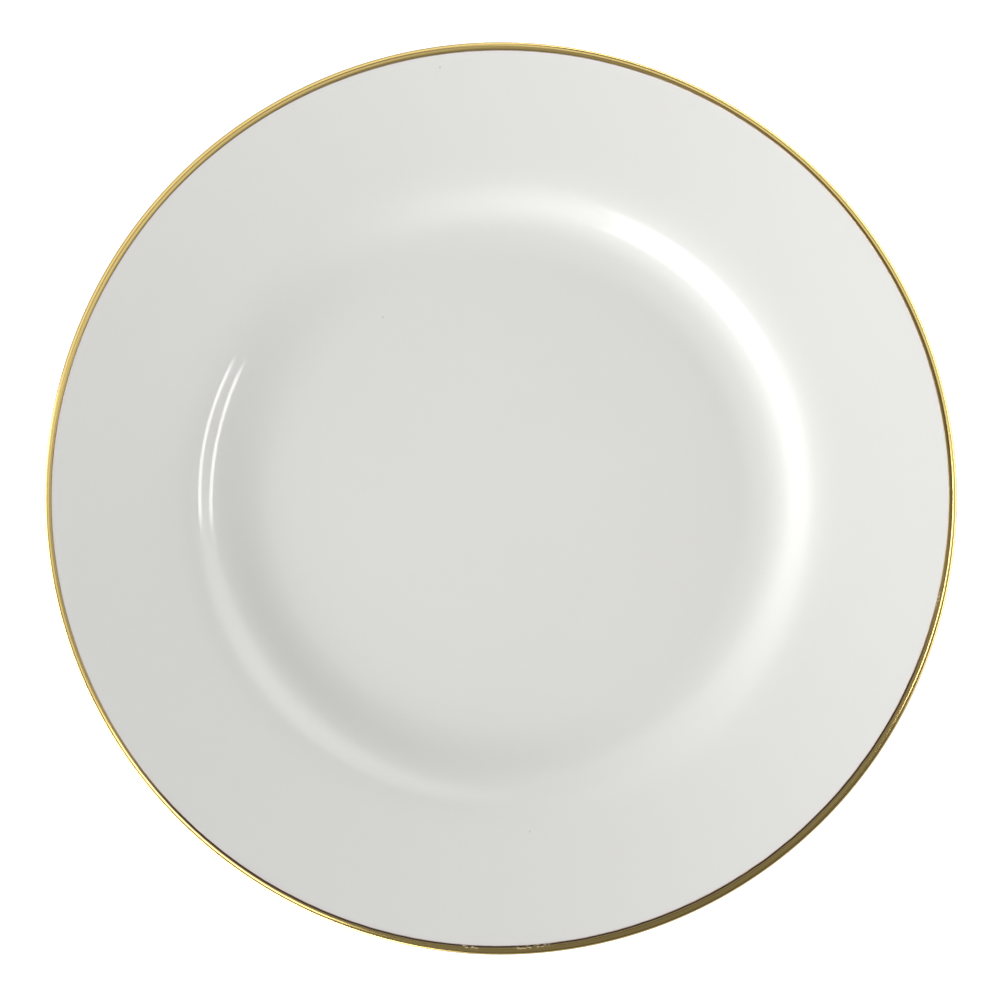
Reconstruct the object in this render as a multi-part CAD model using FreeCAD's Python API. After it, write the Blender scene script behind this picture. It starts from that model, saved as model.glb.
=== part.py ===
import FreeCAD, Part
import math
import os

# China dinner plate, in millimetres: one fired porcelain body, its glaze and its gilded edge.
# The origin is the middle of the foot ring's standing face, +Z is up and everything turns about Z.
# Every section is drawn in the XZ plane, where x is the radius, and revolved about Z.

# Driving dimensions
PLATE_RADIUS = 135.0  # over the gilding at the widest point of the lip
FLOOR_HEIGHT = 7.4  # glazed floor of the well above the table
RECESS_HEIGHT = 3.0  # glazed ceiling inside the foot ring above the table
GLAZE = 0.2  # thickness of the fired glaze
GILDING = 0.1  # thickness given to the gold, which is really a few thousandths

# Face, from the middle outwards: headings are slopes in degrees
FLOOR_RADIUS = 70.9
FLOOR_EASE = (70.0, 7.5)  # radius and end slope of the floor's soft turn up
SHOULDER_HOLLOW = (24.5, 28.0)
SHOULDER_CREST = (24.5, 12.0)
RIM_EASE = (80.0, 8.0)
RIM_BOW = (1000.0, 9.5)
LIP_TOP = (3.3, -33.0)  # the lip is three arcs: over the top, round the edge and under it
LIP_EDGE = (0.9, -147.0)
LIP_UNDER_ROUND = 2.5

# Back of the plate
BACK_RIM_SLOPE = 10.5
BACK_SHOULDER_SLOPE = 27.0
BACK_SHOULDER_ROUND = 24.0
WALL_AT_SHOULDER = 4.3

# Foot ring
FOOT_OUTER = 82.5
FOOT_INNER = 79.4
FOOT_EDGE_ROUND = 0.8
FOOT_DRAFT_OUTSIDE = 8.0
FOOT_DRAFT_INSIDE = 12.0
FOOT_FILLET_OUTSIDE = 3.0
FOOT_FILLET_INSIDE = 2.5
GLAZE_LINE = 1.2  # the glaze is wiped off the foot below this height

# Gilding and printed mark
GILT_INNER = 132.5  # radius where the gold starts on the face
GILT_BELOW_EDGE = 0.85  # how far below the plate's widest point the gold ends
MARK_THICKNESS = 0.05
MARK_RINGS = ((9.0, 9.5), (6.4, 6.6))  # inner and outer radius of each ring
MARK_DOTS = 12
MARK_DOT_CIRCLE = 7.8
MARK_DOT_RADIUS = 0.45
MARK_LOZENGE = (2.2, 3.6)  # half width and half height

AXIS = FreeCAD.Vector(0, 0, 1)
BEYOND = 200.0  # larger than anything in the plate


def ahead(heading):
    angle = math.radians(heading)
    return FreeCAD.Vector(math.cos(angle), 0, math.sin(angle))


def inward(heading):
    """The direction into the clay, which is always on the right of the line."""
    return ahead(heading - 90)


def crossing(p, heading_p, q, heading_q):
    """Where the line through p meets the line through q."""
    a, b = ahead(heading_p), ahead(heading_q)
    gap = q - p
    return p + a * ((gap.x * b.z - gap.z * b.x) / (a.x * b.z - a.z * b.x))


class Outline:
    """A line of straight runs and arcs that meet without a corner, and its copies at any depth."""

    def __init__(self, x, z, heading):
        self.point = FreeCAD.Vector(x, 0, z)
        self.heading = heading
        self.runs = []

    def line(self, length):
        start, self.point = self.point, self.point + ahead(self.heading) * length
        self.runs.append(("line", start, self.point, self.heading))

    def arc(self, radius, heading):
        """Turn to the heading about a centre on the side that it turns to."""
        side = -1 if heading < self.heading else 1
        centre = self.point + inward(self.heading) * (-side * radius)
        self.runs.append(("arc", centre, radius, side, self.heading, heading))
        self.point = centre + inward(heading) * (side * radius)
        self.heading = heading

    def corner(self, point, radius, heading):
        """Run straight towards the point and round it off into the new heading."""
        cut = radius * math.tan(math.radians(abs(heading - self.heading)) / 2)
        self.line((point - self.point).Length - cut)
        self.arc(radius, heading)

    def edges(self, depth):
        made = []
        for kind, *run in self.runs:
            if kind == "line":
                start, end, heading = run
                shift = inward(heading) * depth
                made.append(Part.makeLine(start + shift, end + shift))
            else:
                centre, radius, side, first, last = run
                reach = side * radius + depth
                ends = [centre + inward(h) * reach for h in (first, (first + last) / 2, last)]
                made.append(Part.Arc(*ends).toShape())
        return made


def face_outline():
    """The glazed face, from the axis over the rim and the top of the lip."""
    outline = Outline(0, FLOOR_HEIGHT, 0)
    outline.line(FLOOR_RADIUS)
    for radius, slope in (FLOOR_EASE, SHOULDER_HOLLOW):
        outline.arc(radius, slope)
    wall_point = outline.point + inward(outline.heading) * WALL_AT_SHOULDER
    for radius, slope in (SHOULDER_CREST, RIM_EASE, RIM_BOW):
        outline.arc(radius, slope)
    slope, (top_round, top_end) = math.radians(RIM_BOW[1]), LIP_TOP
    over_top = top_round * (math.sin(slope) - math.sin(math.radians(top_end)))
    beyond_top = LIP_EDGE[0] * (1 + math.sin(math.radians(top_end)))
    lip_start = PLATE_RADIUS - GILDING - over_top - beyond_top
    outline.line((lip_start - outline.point.x) / math.cos(slope))
    outline.arc(*LIP_TOP)
    return outline, wall_point


def glazed_outline():
    """The whole glazed surface, with the foot drawn as if its standing face were glazed too."""
    outline, wall_point = face_outline()
    back_rim, back_shoulder = BACK_RIM_SLOPE - 180, BACK_SHOULDER_SLOPE - 180
    widest_height = outline.point.z + inward(outline.heading).z * LIP_EDGE[0]
    outline.arc(*LIP_EDGE)
    outline.arc(LIP_UNDER_ROUND, back_rim)

    knee = crossing(outline.point, back_rim, wall_point, back_shoulder)
    outline.corner(knee, BACK_SHOULDER_ROUND, back_shoulder)

    foot_outside, foot_inside = -90 - FOOT_DRAFT_OUTSIDE, -270 + FOOT_DRAFT_INSIDE
    outer_edge = FreeCAD.Vector(FOOT_OUTER, 0, -GLAZE)
    inner_edge = FreeCAD.Vector(FOOT_INNER, 0, -GLAZE)
    foot_root = crossing(outline.point, back_shoulder, outer_edge, foot_outside)
    outline.corner(foot_root, FOOT_FILLET_OUTSIDE, foot_outside)
    outline.corner(outer_edge, FOOT_EDGE_ROUND, -180)
    outline.corner(inner_edge, FOOT_EDGE_ROUND, foot_inside)
    ceiling = FreeCAD.Vector(0, 0, RECESS_HEIGHT)
    recess_corner = crossing(inner_edge, foot_inside, ceiling, -180)
    outline.corner(recess_corner, FOOT_FILLET_INSIDE, -180)
    outline.line(outline.point.x)
    return outline, widest_height


def plate_to(depth):
    """The solid plate inside the glazed surface taken in by the depth, or out if it is negative."""
    outline, _ = glazed_outline()
    edges = outline.edges(depth)
    first, last = edges[0].Vertexes[0].Point, edges[-1].Vertexes[-1].Point
    section = Part.Face(Part.Wire(edges + [Part.makeLine(last, first)]))
    return section.revolve(FreeCAD.Vector(), AXIS, 360)


def ring(inner, outer, bottom, top):
    base = FreeCAD.Vector(0, 0, bottom)
    return Part.makeCylinder(outer, top - bottom, base).cut(Part.makeCylinder(inner, top - bottom, base))


def glaze_coats():
    """The coat all round the body, parted by the wiped foot into the face's coat and the recess's."""
    coat = plate_to(0).cut(plate_to(GLAZE))
    above_foot = Part.makeCylinder(BEYOND, BEYOND, FreeCAD.Vector(0, 0, GLAZE_LINE))
    outer, inner = sorted(coat.common(above_foot).Solids, key=lambda s: -s.BoundBox.XLength)
    return outer, inner


def gold_band():
    """The gilding laid over the glaze, from just inside the rim's edge to under the lip."""
    _, widest_height = glazed_outline()
    gilded_zone = ring(GILT_INNER, BEYOND, widest_height - GILT_BELOW_EDGE, BEYOND)
    return plate_to(-GILDING).cut(plate_to(0)).common(gilded_zone)


def base_mark():
    """Rings, a circle of dots and a lozenge, printed on the glaze inside the foot ring."""
    bottom = RECESS_HEIGHT - MARK_THICKNESS
    shapes = [ring(inner, outer, bottom, RECESS_HEIGHT) for inner, outer in MARK_RINGS]
    for i in range(MARK_DOTS):
        angle = 2 * math.pi * i / MARK_DOTS
        place = FreeCAD.Vector(MARK_DOT_CIRCLE * math.cos(angle), MARK_DOT_CIRCLE * math.sin(angle), bottom)
        shapes.append(Part.makeCylinder(MARK_DOT_RADIUS, MARK_THICKNESS, place))
    half_width, half_height = MARK_LOZENGE
    tips = ((half_width, 0), (0, half_height), (-half_width, 0), (0, -half_height), (half_width, 0))
    lozenge = Part.Face(Part.makePolygon([FreeCAD.Vector(x, y, bottom) for x, y in tips]))
    shapes.append(lozenge.extrude(AXIS * MARK_THICKNESS))
    return Part.makeCompound(shapes)


face_glaze, recess_glaze = glaze_coats()
nodes = {
    "porcelain_body": plate_to(GLAZE),
    "face_glaze": face_glaze,
    "recess_glaze": recess_glaze,
    "gold_band": gold_band(),
    "base_mark": base_mark(),
}
os.makedirs("parts", exist_ok=True)
for name, shape in nodes.items():
    shape.exportStep(f"parts/{name}.step")
    box = shape.optimalBoundingBox(False)
    print(f"{name}: {len(shape.Solids)} solid, {shape.Volume / 1000:.3f} cm3, valid {shape.isValid()}, "
          f"radius {box.XMax:.3f}, z {box.ZMin:.3f} to {box.ZMax:.3f}")
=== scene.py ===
import math

import bpy
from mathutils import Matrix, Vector


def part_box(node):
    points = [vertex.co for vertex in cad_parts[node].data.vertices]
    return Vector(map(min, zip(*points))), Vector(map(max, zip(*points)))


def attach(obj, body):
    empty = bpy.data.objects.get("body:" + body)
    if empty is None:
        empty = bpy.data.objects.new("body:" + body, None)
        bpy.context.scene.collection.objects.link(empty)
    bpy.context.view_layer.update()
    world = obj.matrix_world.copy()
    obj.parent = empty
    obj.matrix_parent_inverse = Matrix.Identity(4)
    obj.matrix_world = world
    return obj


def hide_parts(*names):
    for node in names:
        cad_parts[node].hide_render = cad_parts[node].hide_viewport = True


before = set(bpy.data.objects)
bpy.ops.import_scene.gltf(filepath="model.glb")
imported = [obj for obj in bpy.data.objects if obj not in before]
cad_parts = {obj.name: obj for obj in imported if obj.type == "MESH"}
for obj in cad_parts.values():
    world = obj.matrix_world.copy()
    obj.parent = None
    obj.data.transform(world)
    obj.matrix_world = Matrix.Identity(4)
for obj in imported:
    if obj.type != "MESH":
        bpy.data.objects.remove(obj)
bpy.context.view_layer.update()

# China dinner plate: one fired body, its glaze and its gilded edge, all turned about Z.
# Lengths are in metres, sections are lists of (radius, height), and angles are in degrees.
# A trace is a list of (point, heading) along a surface, with the clay on its right.

MM = 0.001
GLAZE = 0.2 * MM
GILDING = 0.1 * MM
CLEARANCE = 0.01 * MM  # between a surface and the one that it covers

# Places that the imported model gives
FOOT_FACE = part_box("porcelain_body")[0].z
GLAZE_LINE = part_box("face_glaze")[0].z
PLATE_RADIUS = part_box("gold_band")[1].x
GILT_UNDER_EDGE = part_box("gold_band")[0].z
RECESS_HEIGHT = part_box("recess_glaze")[1].z - GLAZE

# The face, from the middle outwards: each arc's radius and the slope that it ends at
FLOOR_HEIGHT = 7.4 * MM
FLOOR_RADIUS = 70.9 * MM
FACE_ARCS = (
    (70 * MM, 7.5),
    (24.5 * MM, 28),
    (24.5 * MM, 12),
    (80 * MM, 8),
    (1000 * MM, 9.5),
)
SHOULDER_ARC = 1  # the arc that ends at the steepest point of the shoulder

# The lip: over the top, round the edge and under it
LIP_TOP = (3.3 * MM, -33)
LIP_EDGE = (0.9 * MM, -147)
LIP_UNDER_ROUND = 2.5 * MM

# The back and the foot ring
BACK_RIM_SLOPE = 10.5
BACK_SHOULDER_SLOPE = 27
BACK_SHOULDER_ROUND = 24 * MM
WALL_AT_SHOULDER = 4.3 * MM
FOOT_OUTER = 82.5 * MM
FOOT_INNER = 79.4 * MM
FOOT_MIDDLE = (FOOT_INNER + FOOT_OUTER) / 2
FOOT_EDGE_ROUND = 0.8 * MM
FOOT_DRAFT_OUTSIDE = 8
FOOT_DRAFT_INSIDE = 12
FOOT_FILLET_OUTSIDE = 3 * MM
FOOT_FILLET_INSIDE = 2.5 * MM
GLAZE_ROLL = 0.5 * MM  # height over which the glaze rounds off above the wiped foot

# Gilding: a hand-banded line, so its inner edge is a little off centre, oval and not quite even
GILT_INNER = 132.33 * MM
GILT_OFF_CENTRE = 0.2 * MM
GILT_WIDEST_AT = 315
GILT_OVAL = 0.25 * MM
GILT_OVAL_AT = 120
GILT_TAPER = 0.35 * MM
GILT_TRACE_MARGIN = 1.2 * MM  # how far inside the mean edge the gold's trace starts
GILT_WANDER = (  # height in millimetres, waves round the plate, and phase
    (0.05, 3, 40),
    (0.03, 8, 110),
    (0.015, 19, 0),
)

# The well is pressed a little off the rim's centre, towards +X
WELL_OFF_CENTRE = 0.45 * MM
WELL_SHIFT_RISE = (50 * MM, 70 * MM)
WELL_SHIFT_FALL = (130 * MM, 105 * MM)

# Turning marks that the roller leaves round the shoulder
RIPPLE_RADIUS = 88.4 * MM
RIPPLE_REACH = 3.4 * MM
RIPPLE_PITCH = 1.25 * MM
RIPPLE_HEIGHT = 0.0004 * MM

# Mesh
TURN_STEPS = 360
FINE_STEP = 0.1 * MM
SOFTENING = (12, 3)  # steps to each side and rounds of the moving average over the face
BACK_STEP = 1.5 * MM
LIP_STEP = 0.08 * MM
TURN_PER_STEP = 6
WIDEST_SPACING = 3 * MM
SPACING_GROWTH = 0.08
FINE_PLACES = (  # radius, reach to each side and spacing of the rings there
    (RIPPLE_RADIUS, 5.5 * MM, 0.2 * MM),
    (PLATE_RADIUS, 3 * MM, LIP_STEP),
)
GILT_STEPS = 56
HIDDEN_SKIP = 4  # one ring in four is enough on the sides that the coat hides

# Studio
FLOOR_HALF = 3.0
CAMERA_ABOVE_LIP = 1.2
FRAME_WIDTH = 0.2955
CAMERA_OFF_AXIS = Vector((-0.1773, -0.44325)) * MM
SENSOR_WIDTH = 36


def ahead(heading):
    angle = math.radians(heading)
    return Vector((math.cos(angle), math.sin(angle)))


def inward(heading):
    """The direction into the clay, on the right of the line."""
    return ahead(heading - 90)


def crossing(p, heading_p, q, heading_q):
    """Where the line through p meets the line through q."""
    a, b = ahead(heading_p), ahead(heading_q)
    gap = q - p
    return p + a * ((gap.x * b.y - gap.y * b.x) / (a.x * b.y - a.y * b.x))


class Outline:
    """Straight runs and arcs that meet without a corner."""

    def __init__(self, point, heading):
        self.point = point
        self.heading = heading
        self.runs = []

    def line(self, length):
        start, heading = self.point, self.heading
        self.point = start + ahead(heading) * length
        self.runs.append((length, 0, lambda t: (start + ahead(heading) * length * t, heading)))

    def arc(self, radius, heading):
        first, side = self.heading, (-1 if heading < self.heading else 1)
        centre = self.point - inward(first) * side * radius
        self.point = centre + inward(heading) * side * radius
        self.heading = heading

        def along(t):
            now = first + (heading - first) * t
            return centre + inward(now) * side * radius, now

        turn = abs(heading - first)
        self.runs.append((radius * math.radians(turn), turn, along))

    def corner(self, point, radius, heading):
        """Run straight towards the point and round it off into the new heading."""
        cut = radius * math.tan(math.radians(abs(heading - self.heading)) / 2)
        self.line((point - self.point).length - cut)
        self.arc(radius, heading)

    def trace(self, step):
        made = []
        for length, turn, along in self.runs:
            count = max(1, math.ceil(length / step), math.ceil(turn / TURN_PER_STEP))
            made += [along(i / count) for i in range(count)]
        return made + [self.runs[-1][2](1)]


def face_outline():
    outline = Outline(Vector((0, FLOOR_HEIGHT)), 0)
    outline.line(FLOOR_RADIUS)
    for i, (radius, slope) in enumerate(FACE_ARCS):
        outline.arc(radius, slope)
        if i == SHOULDER_ARC:
            wall_point = outline.point + inward(slope) * WALL_AT_SHOULDER
    slope, (top_round, top_end) = math.radians(outline.heading), LIP_TOP
    over_top = top_round * (math.sin(slope) - math.sin(math.radians(top_end)))
    beyond_top = LIP_EDGE[0] * (1 + math.sin(math.radians(top_end)))
    lip_start = PLATE_RADIUS - GILDING - over_top - beyond_top
    outline.line((lip_start - outline.point.x) / math.cos(slope))
    return outline, wall_point


def lip_outline():
    outline = Outline(FACE.point, FACE.heading)
    outline.arc(*LIP_TOP)
    outline.arc(*LIP_EDGE)
    outline.arc(LIP_UNDER_ROUND, BACK_RIM_SLOPE - 180)
    return outline


def back_outline():
    """From the end of the lip inwards over the back and the foot ring to the axis."""
    back_rim, back_shoulder = BACK_RIM_SLOPE - 180, BACK_SHOULDER_SLOPE - 180
    outline = Outline(LIP.point, back_rim)
    knee = crossing(LIP.point, back_rim, WALL_POINT, back_shoulder)
    outline.corner(knee, BACK_SHOULDER_ROUND, back_shoulder)
    foot_outside, foot_inside = -90 - FOOT_DRAFT_OUTSIDE, -270 + FOOT_DRAFT_INSIDE
    outer_edge = Vector((FOOT_OUTER, FOOT_FACE - GLAZE))
    inner_edge = Vector((FOOT_INNER, FOOT_FACE - GLAZE))
    foot_root = crossing(outline.point, back_shoulder, outer_edge, foot_outside)
    outline.corner(foot_root, FOOT_FILLET_OUTSIDE, foot_outside)
    outline.corner(outer_edge, FOOT_EDGE_ROUND, -180)
    outline.corner(inner_edge, FOOT_EDGE_ROUND, foot_inside)
    recess_corner = crossing(inner_edge, foot_inside, Vector((0, RECESS_HEIGHT)), -180)
    outline.corner(recess_corner, FOOT_FILLET_INSIDE, -180)
    outline.line(outline.point.x)
    return outline


def softened(points, reach, rounds):
    """The line with its changes of curvature drawn out, as flowing glaze draws them out."""
    for _ in range(rounds):
        moved = list(points)
        for i in range(1, len(points) - 1):
            span = min(reach, i, len(points) - 1 - i)
            near = points[i - span:i + span + 1]
            moved[i] = sum(near, Vector((0, 0))) / len(near)
        points = moved
    return points


def headed(points):
    """A trace of the points, each with the heading from its neighbours."""
    made = []
    for i, point in enumerate(points):
        run = points[min(i + 1, len(points) - 1)] - points[max(i - 1, 0)]
        made.append((point, math.degrees(math.atan2(run.y, run.x))))
    return made


def walked(trace):
    """The distance of each place of the trace from its start."""
    distances = [0]
    for (before, _), (after, _) in zip(trace, trace[1:]):
        distances.append(distances[-1] + (after - before).length)
    return distances


def place_at(trace, distances, wanted, start=0):
    """The place at a distance along the trace, and the index of the last known place before it."""
    i = start
    while i < len(distances) - 2 and distances[i + 1] < wanted:
        i += 1
    share = (wanted - distances[i]) / (distances[i + 1] - distances[i])
    (p, heading_p), (q, heading_q) = trace[i], trace[i + 1]
    return (p.lerp(q, share), heading_p + (heading_q - heading_p) * share), i


def ring_spacing(radius):
    """Close rings where the surface turns fast or is rippled, and wide ones on the flat floor."""
    near = []
    for place, reach, step in FINE_PLACES:
        near.append(step + SPACING_GROWTH * max(0, abs(radius - place) - reach))
    return min(WIDEST_SPACING, *near)


def respaced(trace):
    distances = walked(trace)
    made, wanted, i = [trace[0]], 0, 0
    while True:
        wanted += ring_spacing(made[-1][0].x)
        if wanted > distances[-1] - LIP_STEP / 2:
            return made + [trace[-1]]
        place, i = place_at(trace, distances, wanted, i)
        made.append(place)


def rippled(trace):
    made = []
    for point, heading in trace:
        off = (point.x - RIPPLE_RADIUS) / RIPPLE_REACH
        height = RIPPLE_HEIGHT * math.exp(-off * off) * math.sin(2 * math.pi * point.x / RIPPLE_PITCH)
        made.append((point - inward(heading) * height, heading))
    return made


def sunk(trace, depth):
    return [point + inward(heading) * depth for point, heading in trace]


def eased(low, high, value):
    """From 0 at low to 1 at high without a corner."""
    share = min(1, max(0, (value - low) / (high - low)))
    return share * share * (3 - 2 * share)


def off_centre(face, angle):
    """The face's section at an angle, moved with the well."""
    shift = WELL_OFF_CENTRE * math.cos(math.radians(angle))
    moved = []
    for point in face:
        share = eased(*WELL_SHIFT_RISE, point.x) * eased(*WELL_SHIFT_FALL, point.x)
        moved.append(point + Vector((shift * share, 0)))
    return moved


def turned(name, section_at):
    """A closed piece lathed from the section at each angle; a point on the axis is one vertex."""
    loops = [section_at(360 * k / TURN_STEPS) for k in range(TURN_STEPS)]
    verts, rings = [], []
    for i, first in enumerate(loops[0]):
        if first.x < CLEARANCE:
            rings.append([len(verts)])
            verts.append((0, 0, first.y))
            continue
        rings.append(range(len(verts), len(verts) + TURN_STEPS))
        for k, loop in enumerate(loops):
            angle = 2 * math.pi * k / TURN_STEPS
            verts.append((loop[i].x * math.cos(angle), loop[i].x * math.sin(angle), loop[i].y))
    faces = []
    for a, b in zip(rings, rings[1:] + rings[:1]):
        if len(a) == 1 and len(b) == 1:
            continue
        for k in range(TURN_STEPS):
            n = (k + 1) % TURN_STEPS
            corners = (a[k % len(a)], b[k % len(b)], b[n % len(b)], a[n % len(a)])
            faces.append(tuple(dict.fromkeys(corners)))
    mesh = bpy.data.meshes.new(name)
    mesh.from_pydata(verts, [], faces)
    mesh.polygons.foreach_set("use_smooth", [True] * len(mesh.polygons))
    piece = bpy.data.objects.new(name, mesh)
    bpy.context.scene.collection.objects.link(piece)
    return piece


FACE, WALL_POINT = face_outline()
LIP = lip_outline()
BACK = back_outline()

FINE_FACE = headed(softened([point for point, _ in FACE.trace(FINE_STEP)], *SOFTENING))
FACE_TRACE = respaced(FINE_FACE)
HIDDEN_FACE = FACE_TRACE[::HIDDEN_SKIP]
LIP_TRACE = LIP.trace(LIP_STEP)[1:]
BACK_TRACE = BACK.trace(BACK_STEP)[1:]
GLAZED = [place for place in BACK_TRACE if place[0].y > GLAZE_LINE]
GLAZED_BACK = [place for place in GLAZED if place[0].x > FOOT_MIDDLE]
GLAZED_RECESS = [place for place in GLAZED if place[0].x < FOOT_MIDDLE]


def rolled_off(trace):
    """The coat's surface, rounded off where it stops above the wiped foot."""
    made = []
    for point, heading in trace:
        share = min(1, (point.y - GLAZE_LINE) / GLAZE_ROLL)
        depth = (GLAZE - CLEARANCE) * (1 - math.sqrt(share * (2 - share)))
        made.append(point + inward(heading) * depth)
    return made


def glaze_over_plate():
    """The coat over face, lip and back, closed by its own inner side."""
    outer = sunk(rippled(FACE_TRACE), 0), sunk(LIP_TRACE, 0) + rolled_off(GLAZED_BACK)
    inner = sunk(HIDDEN_FACE, GLAZE), sunk(LIP_TRACE + GLAZED_BACK, GLAZE)

    def section_at(angle):
        sides = [off_centre(face, angle) + back for face, back in (outer, inner)]
        return sides[0] + sides[1][::-1]

    return turned("glaze_over_plate", section_at)


def glaze_in_recess():
    outer, inner = rolled_off(GLAZED_RECESS), sunk(GLAZED_RECESS, GLAZE)
    return turned("glaze_in_recess", lambda angle: outer + inner[::-1])


def fired_body():
    """The body under the glaze, with its bare standing face drawn at its true height."""
    face = sunk(HIDDEN_FACE, GLAZE + CLEARANCE)
    back = sunk(LIP_TRACE + BACK_TRACE, GLAZE + CLEARANCE)
    for p in back:
        if p.y < GLAZE_LINE:
            p.y = max(p.y - CLEARANCE, FOOT_FACE)
    return turned("fired_body", lambda angle: off_centre(face, angle) + back)


def gilt_edge_radius(angle):
    """Where the gold starts on the rim, as a brush held against the turning plate leaves it."""
    wander = 0
    for height, waves, phase in GILT_WANDER:
        wander += height * math.sin(math.radians(waves * angle + phase))
    off = GILT_OFF_CENTRE * math.cos(math.radians(angle - GILT_WIDEST_AT))
    oval = GILT_OVAL * math.cos(2 * math.radians(angle - GILT_OVAL_AT))
    return GILT_INNER - off - oval + wander * MM


def gilded_edge():
    """The gold over the lip, thinning to nothing along both of its edges."""
    rim = [place for place in FINE_FACE if place[0].x > GILT_INNER - GILT_TRACE_MARGIN]
    trace = rim + [place for place in LIP_TRACE if place[0].y > GILT_UNDER_EDGE]
    distances = walked(trace)

    def section_at(angle):
        start = (gilt_edge_radius(angle) - trace[0][0].x) / math.cos(math.radians(FACE.heading))
        length = distances[-1] - start
        over, under, i = [], [], 0
        for k in range(GILT_STEPS + 1):
            share = k / GILT_STEPS
            (point, heading), i = place_at(trace, distances, start + length * share, i)
            thin = min(1, length * min(share, 1 - share) / GILT_TAPER)
            height = GILDING * thin * (2 - thin)
            over.append(point - inward(heading) * height)
            if 0 < k < GILT_STEPS:
                under.append(point + inward(heading) * CLEARANCE)
        return over + under[::-1]

    return turned("gilded_edge", section_at)


class Wire:
    """One value in a material; arithmetic on it adds Math nodes."""

    def __init__(self, nodes, socket):
        self.nodes = nodes
        self.socket = socket

    def math(self, operation, *values):
        return self.nodes.node("ShaderNodeMath", {"operation": operation}, dict(enumerate(values)))

    def __add__(self, other):
        return self.math("ADD", self, other)

    def __radd__(self, other):
        return self.math("ADD", other, self)

    def __sub__(self, other):
        return self.math("SUBTRACT", self, other)

    def __rsub__(self, other):
        return self.math("SUBTRACT", other, self)

    def __mul__(self, other):
        return self.math("MULTIPLY", self, other)

    def __rmul__(self, other):
        return self.math("MULTIPLY", other, self)

    def __truediv__(self, other):
        return self.math("DIVIDE", self, other)

    def __gt__(self, other):
        return self.math("GREATER_THAN", self, other)

    def __abs__(self):
        return self.math("ABSOLUTE", self)

    def power(self, other):
        return self.math("POWER", self, other)

    def step(self, low, high):
        """From 0 at low to 1 at high, or the other way where low is above high, without a corner."""
        settings = {"interpolation_type": "SMOOTHSTEP"}
        ends = {"From Min": min(low, high), "From Max": max(low, high)}
        made = self.nodes.node("ShaderNodeMapRange", settings, {"Value": self, **ends})
        return made if low < high else 1 - made


class Nodes:
    """The nodes of a material or of the studio's surroundings."""

    def __init__(self, owner):
        owner.use_nodes = True
        self.tree = owner.node_tree

    def fill(self, node, values):
        for key, value in values.items():
            if isinstance(value, Wire):
                self.tree.links.new(value.socket, node.inputs[key])
            else:
                node.inputs[key].default_value = value

    def node(self, kind, settings=None, values=None, output=0):
        made = self.tree.nodes.new(kind)
        for key, value in (settings or {}).items():
            setattr(made, key, value)
        self.fill(made, values or {})
        return Wire(self, made.outputs[output])

    def split(self, vector):
        separated = self.node("ShaderNodeSeparateXYZ", {}, {0: vector}).socket.node
        return [Wire(self, socket) for socket in separated.outputs]

    def blend(self, share, first, second):
        """Two colours mixed by a share from 0 to 1."""
        made = self.node("ShaderNodeMix", {"data_type": "RGBA"}).socket.node
        self.fill(made, {0: share, 6: first, 7: second})
        return Wire(self, made.outputs[2])


class Finish(Nodes):
    """A material, with its surface shader and the plate's own coordinates at hand."""

    def __init__(self, name, color, roughness, metallic=0.0, **fixed):
        self.material = bpy.data.materials.new(name)
        super().__init__(self.material)
        self.surface = next(n for n in self.tree.nodes if n.type == "BSDF_PRINCIPLED")
        self.set({"Base Color": color, "Roughness": roughness, "Metallic": metallic, **fixed})
        self.place = self.node("ShaderNodeTexCoord", output=3)
        self.x, self.y, self.z = self.split(self.place)
        self.radius = (self.x * self.x + self.y * self.y).power(0.5)

    def set(self, values):
        self.fill(self.surface, values)

    def noise(self, size, detail=2, place=None):
        """Cloudy variation around 0.5 with features of the given size."""
        values = {"Vector": place or self.place, "Scale": 1 / size, "Detail": detail}
        return self.node("ShaderNodeTexNoise", {}, values)

    def facing(self, angle):
        """The cosine of the way round the plate from the angle: 1 there and -1 opposite."""
        a = math.radians(angle)
        return (self.x * math.cos(a) + self.y * math.sin(a)) / self.radius

    def beside(self, angle, away, close):
        """From 0 to 1 round the plate, as the cosine from the angle goes from away to close."""
        return self.facing(angle).step(away, close)

    def past_gilt_edge(self):
        """How far outside the gold's mean inner edge a place is."""
        along_oval = self.facing(GILT_OVAL_AT)
        oval = (along_oval * along_oval * 2 - 1) * GILT_OVAL
        return self.radius - GILT_INNER + self.facing(GILT_WIDEST_AT) * GILT_OFF_CENTRE + oval

    def near(self, angle, radius, size):
        """A round spot, 1 in its middle and 0 outside."""
        a = math.radians(angle)
        gap_x = self.x - radius * math.cos(a)
        gap_y = self.y - radius * math.sin(a)
        return (gap_x * gap_x + gap_y * gap_y).power(0.5).step(size / 2, size / 4)

    def along_turning(self, across, around):
        """Coordinates that stretch a noise into streaks round the plate."""
        angle = self.node("ShaderNodeMath", {"operation": "ARCTAN2"}, {0: self.y, 1: self.x})
        values = {0: self.radius / across, 1: angle / around, 2: self.z / across}
        return self.node("ShaderNodeCombineXYZ", {}, values)

    def bump(self, height):
        """Relief from a height in metres."""
        values = {"Strength": 1.0, "Distance": 1.0, "Height": height}
        return self.node("ShaderNodeBump", {}, values)


PORCELAIN_WHITE = (0.8, 0.8, 0.775, 1)
PORCELAIN_CREAM = (0.79, 0.782, 0.745, 1)
GILT_BLUSH = (0.8, 0.765, 0.775, 1)
IRON_SPECK = (0.42, 0.36, 0.3, 1)
GLAZE_SPECKS = (  # angle, radius and size of the specks of iron burnt through the glaze
    (98, 128.7 * MM, 0.7 * MM),
    (275, 99.2 * MM, 0.55 * MM),
    (123, 64.5 * MM, 0.6 * MM),
)
BLUSH_REACH = (-0.9 * MM, -0.1 * MM)  # from and to, past the gold's inner edge


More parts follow.
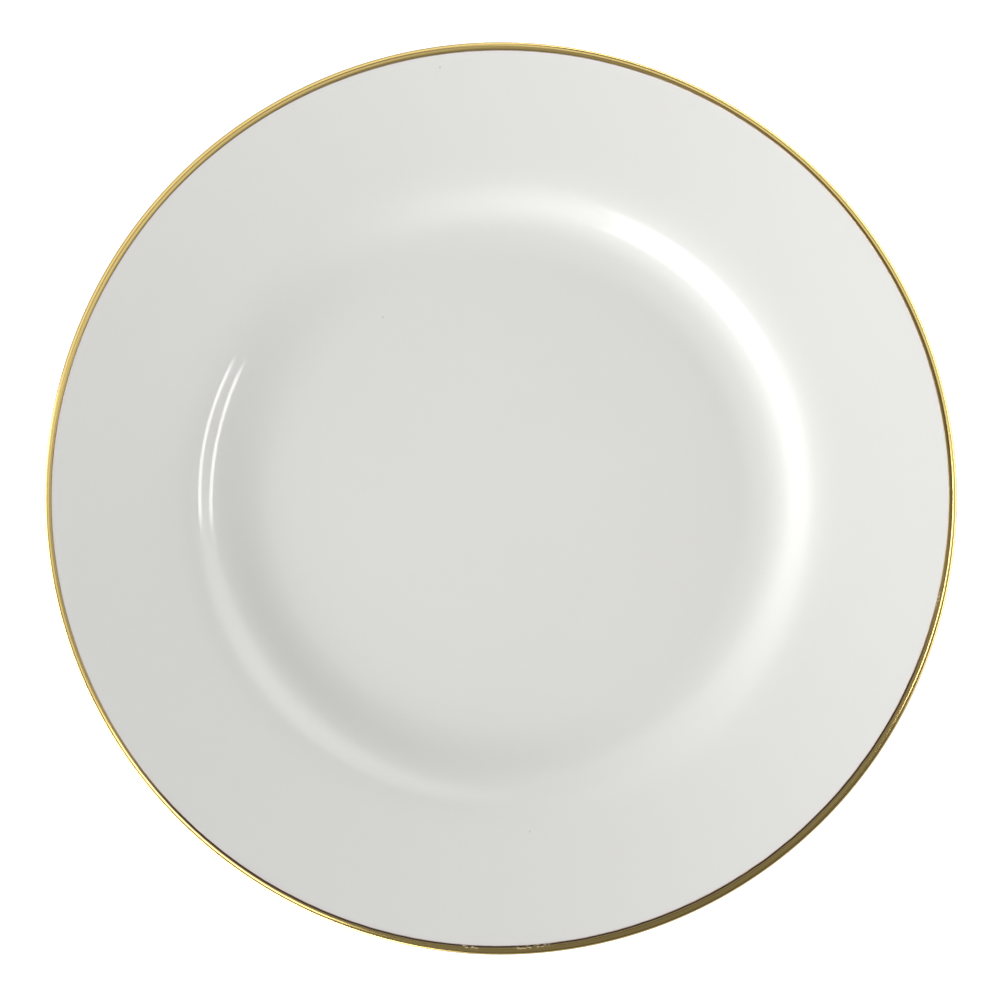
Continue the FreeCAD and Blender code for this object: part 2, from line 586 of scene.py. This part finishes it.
def glaze_finish():
    """Clear glossy glaze over white: faintly cloudy, with a few specks and a blush beside the gold."""
    finish = Finish("porcelain_glaze", PORCELAIN_WHITE, 0.06)
    clouds = finish.noise(38 * MM, 3).step(0.35, 0.75)
    color = finish.blend(clouds * 0.35, PORCELAIN_WHITE, PORCELAIN_CREAM)
    beside_gold = finish.past_gilt_edge().step(*BLUSH_REACH)
    color = finish.blend(beside_gold * 0.7, color, GILT_BLUSH)
    for angle, radius, size in GLAZE_SPECKS:
        color = finish.blend(finish.near(angle, radius, size) * 0.6, color, IRON_SPECK)
    roughness = 0.03 + finish.noise(9 * MM, 4) * 0.02
    waves = finish.noise(14 * MM, 1) * (0.0028 * MM) + finish.noise(1.6 * MM, 2) * (0.00012 * MM)
    finish.set({"Base Color": color, "Roughness": roughness, "Normal": finish.bump(waves)})
    return finish.material


def bisque_finish():
    """Bare fired porcelain, grey where the standing face was ground and has been rubbed."""
    finish = Finish("bare_porcelain", PORCELAIN_CREAM, 0.6)
    grain = finish.noise(0.35 * MM, 4)
    color = finish.blend(grain.step(0.3, 0.7), (0.78, 0.75, 0.7, 1), (0.7, 0.66, 0.6, 1))
    rubbed = (finish.z - FOOT_FACE).step(0.25 * MM, 0.02 * MM)
    streaks = finish.noise(1, 3, finish.along_turning(0.25 * MM, 0.3)).step(0.35, 0.65)
    color = finish.blend(rubbed * (0.35 + streaks * 0.55), color, (0.5, 0.47, 0.42, 1))
    height = grain * (0.012 * MM) * (1 - rubbed * 0.7)
    finish.set({"Base Color": color, "Roughness": 0.72 - rubbed * 0.2, "Normal": finish.bump(height)})
    return finish.material


GOLD = (0.87, 0.66, 0.255, 1)
GOLD_DEEP = (0.82, 0.6, 0.22, 1)
# Near black: thin gold's own dark, made deeper to serve as painted shade on one side of the band
THIN_AND_SHADED_GOLD = (0.04, 0.022, 0.02, 1)
WORN_GOLD = (0.78, 0.66, 0.45, 1)
GOLD_WASH = (0.62, 0.5, 0.38, 1)

# From and to, past the gold's inner edge
THIN_AND_SHADED_REACH = (1.0 * MM, 0.35 * MM)
WASH_REACH = (0.06 * MM, -0.04 * MM)

# Where round the plate the gold is thin and darkened as painted shade, and where it is worn: an angle,
# and the cosines from it at which the change starts and is full
THIN_AND_SHADED_SIDE = (280, 0.15, 0.6)
WORN_PLACES = (
    (266, 0.9997, 0.99995),
    (274, 0.999, 0.9997),
    (347, 0.9997, 0.9999),
)
WEAR_END = 133.5 * MM
WEAR_FADE = 0.4 * MM
WEAR_COVER = 0.75


def gold_finish():
    """Bright fired gold: brushed on round the plate, purple-brown where it is thin, worn in places,
    and painted near black on the side round 280° as painted shade.
    """
    finish = Finish("fired_gold", GOLD, 0.14, 1.0)
    brushed = finish.noise(1, 3, finish.along_turning(0.12 * MM, 0.25))
    color = finish.blend(brushed.step(0.35, 0.7), GOLD, GOLD_DEEP)
    from_edge = finish.past_gilt_edge() - finish.noise(4 * MM, 3) * (0.3 * MM)
    # Painted shade: on the side round 280° the gold's inner part turns near black and loses its shine,
    # standing for the darker reflection on that side; thin gold along the inner edge is the band's own
    thin = from_edge.step(*THIN_AND_SHADED_REACH) * finish.beside(*THIN_AND_SHADED_SIDE)
    color = finish.blend(thin, color, THIN_AND_SHADED_GOLD)
    wash = from_edge.step(*WASH_REACH)
    color = finish.blend(wash, color, GOLD_WASH)
    beside_wear = sum(finish.beside(*place) for place in WORN_PLACES)
    flecks = finish.noise(1, 1, finish.along_turning(0.3 * MM, 0.008)).step(0.52, 0.62)
    worn = beside_wear * flecks * (finish.radius - WEAR_END).step(0, -WEAR_FADE) * WEAR_COVER
    color = finish.blend(worn, color, WORN_GOLD)
    metallic = (1 - worn) * (1 - wash * 0.5) * (1 - thin * 0.9)
    roughness = 0.1 + brushed * 0.1 + thin * 0.1
    finish.set({"Base Color": color, "Metallic": metallic, "Roughness": roughness})
    finish.set({"Normal": finish.bump(brushed * (0.0008 * MM))})
    return finish.material


def mark_finish():
    """A printed colour sunk into the glaze, a little uneven in its cover."""
    finish = Finish("printed_mark", (0.1, 0.14, 0.12, 1), 0.25)
    cover = finish.noise(0.5 * MM, 4).step(0.35, 0.65)
    finish.set({"Base Color": finish.blend(cover, (0.16, 0.21, 0.18, 1), (0.07, 0.11, 0.09, 1))})
    finish.set({"Roughness": 0.18 + cover * 0.12})
    return finish.material


GLOW_STARTS = 0.8 * PLATE_RADIUS
GLOW_FULL = 1.02 * PLATE_RADIUS


def floor_finish():
    """A pale table with a painted glow that the camera alone sees, so that it is plain white round the
    plate and the plate's shadow beyond the rim is washed out; under the plate the glow fades out.
    """
    finish = Finish("pale_table", (0.7, 0.7, 0.7, 1), 0.6)
    # Painted light: the table glows beyond the rim, hiding the plate's cast shadow there
    open_floor = finish.radius.step(GLOW_STARTS, GLOW_FULL)
    seen = finish.node("ShaderNodeLightPath")
    painted_glow = finish.blend(open_floor * seen, (0, 0, 0, 1), (1, 1, 1, 1))
    finish.set({"Emission Color": painted_glow, "Emission Strength": 0.9})
    return finish.material


def dressed(piece, node, material):
    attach(piece, "root")
    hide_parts(node)
    piece.data.materials.append(material)


def table():
    sides = ((-1, -1), (1, -1), (1, 1), (-1, 1))
    corners = [(x * FLOOR_HALF, y * FLOOR_HALF, FOOT_FACE) for x, y in sides]
    mesh = bpy.data.meshes.new("table")
    mesh.from_pydata(corners, [], [(0, 1, 2, 3)])
    piece = bpy.data.objects.new("table", mesh)
    bpy.context.scene.collection.objects.link(piece)
    piece.data.materials.append(floor_finish())


def camera_above():
    data = bpy.data.cameras.new("camera")
    data.sensor_width = SENSOR_WIDTH
    data.lens = data.sensor_width * CAMERA_ABOVE_LIP / FRAME_WIDTH
    camera = bpy.data.objects.new("camera", data)
    camera.location = (*CAMERA_OFF_AXIS, FACE.point.y + CAMERA_ABOVE_LIP)
    bpy.context.scene.collection.objects.link(camera)
    bpy.context.scene.camera = camera


# Soft boxes round the plate: azimuth from +X towards +Y, angle from straight up, half width and
# half height in degrees, softness of their edges, and brightness
SOFT_BOXES = {
    "window": (215, 78, 44, 6.5, 0.3, 14.7),
    "upper_box": (230, 41, 12.5, 6.5, 0.02, 3.0),
    "upper_wall": (193, 42, 20, 11, 0.5, 0.75),
    "upper_box_side": (130, 32, 22, 9, 0.6, 0.7),
    "right_box": (45, 44, 38, 9, 0.35, 0.85),
    "left_wall": (140, 62, 50, 13, 0.3, 1.02),
    "right_wall": (30, 63, 36, 8, 0.5, 0.5),
    "low_reflector": (35, 82, 55, 7, 0.3, 4.7),
    "low_reflector_side": (0, 80, 25, 7, 0.3, 2.3),
    "back_wall": (300, 38, 46, 20, 0.4, 0.12),
    "ceiling_box": (125, 16, 20, 8, 0.5, 0.2),
    "ceiling_left": (180, 17, 18, 9, 0.5, 0.35),
    "ceiling_right": (20, 15, 28, 8, 0.5, 0.12),
    "overhead": (0, 0, 6, 6, 0.3, 0.15),
    "overhead_left": (205, 4, 3, 2.2, 0.6, 0.45),
    "small_lamp": (349, 42.5, 10.5, 2, 0.2, 8),
}
DIM_ROOM = 0.075
LOW_WALLS = 0.43
LOW_WALLS_TOP = (0.24, 0.2)  # sines of the heights where the low walls end and are full


def soft_box(sky, direction, azimuth, from_top, half_width, half_height, softness, brightness):
    """A rectangle of light that faces the plate, with edges that fade."""
    a, t = math.radians(azimuth), math.radians(from_top)
    away = Vector((math.cos(a) * math.sin(t), math.sin(a) * math.sin(t), math.cos(t)))
    side = Vector((-math.sin(a), math.cos(a), 0))

    def towards(axis):
        values = {0: direction, 1: axis}
        return sky.node("ShaderNodeVectorMath", {"operation": "DOT_PRODUCT"}, values, "Value")

    depth = towards(away)
    across = abs(towards(side) / depth) / math.tan(math.radians(half_width))
    along = abs(towards(away.cross(side)) / depth) / math.tan(math.radians(half_height))
    fades = [part.step(1 + softness, 1 - softness) for part in (across, along)]
    return fades[0] * fades[1] * (depth > 0) * brightness


def studio():
    """A dim room with soft boxes, against a plain white background."""
    world = bpy.data.worlds.new("studio")
    bpy.context.scene.world = world
    sky = Nodes(world)
    direction = sky.node("ShaderNodeTexCoord")
    height = sky.split(direction)[2]
    light = DIM_ROOM + height.step(*LOW_WALLS_TOP) * LOW_WALLS
    for box in SOFT_BOXES.values():
        light = light + soft_box(sky, direction, *box)
    seen = sky.node("ShaderNodeLightPath")
    background = next(n for n in sky.tree.nodes if n.type == "BACKGROUND")
    sky.fill(background, {"Color": sky.blend(seen, light, (1, 1, 1, 1)), "Strength": 1.0})


glaze = glaze_finish()
dressed(fired_body(), "porcelain_body", bisque_finish())
dressed(glaze_over_plate(), "face_glaze", glaze)
dressed(glaze_in_recess(), "recess_glaze", glaze)
dressed(gilded_edge(), "gold_band", gold_finish())
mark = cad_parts["base_mark"]
mark.data.materials.clear()
mark.data.materials.append(mark_finish())

table()
camera_above()
studio()
bpy.context.scene.view_settings.view_transform = "Standard"
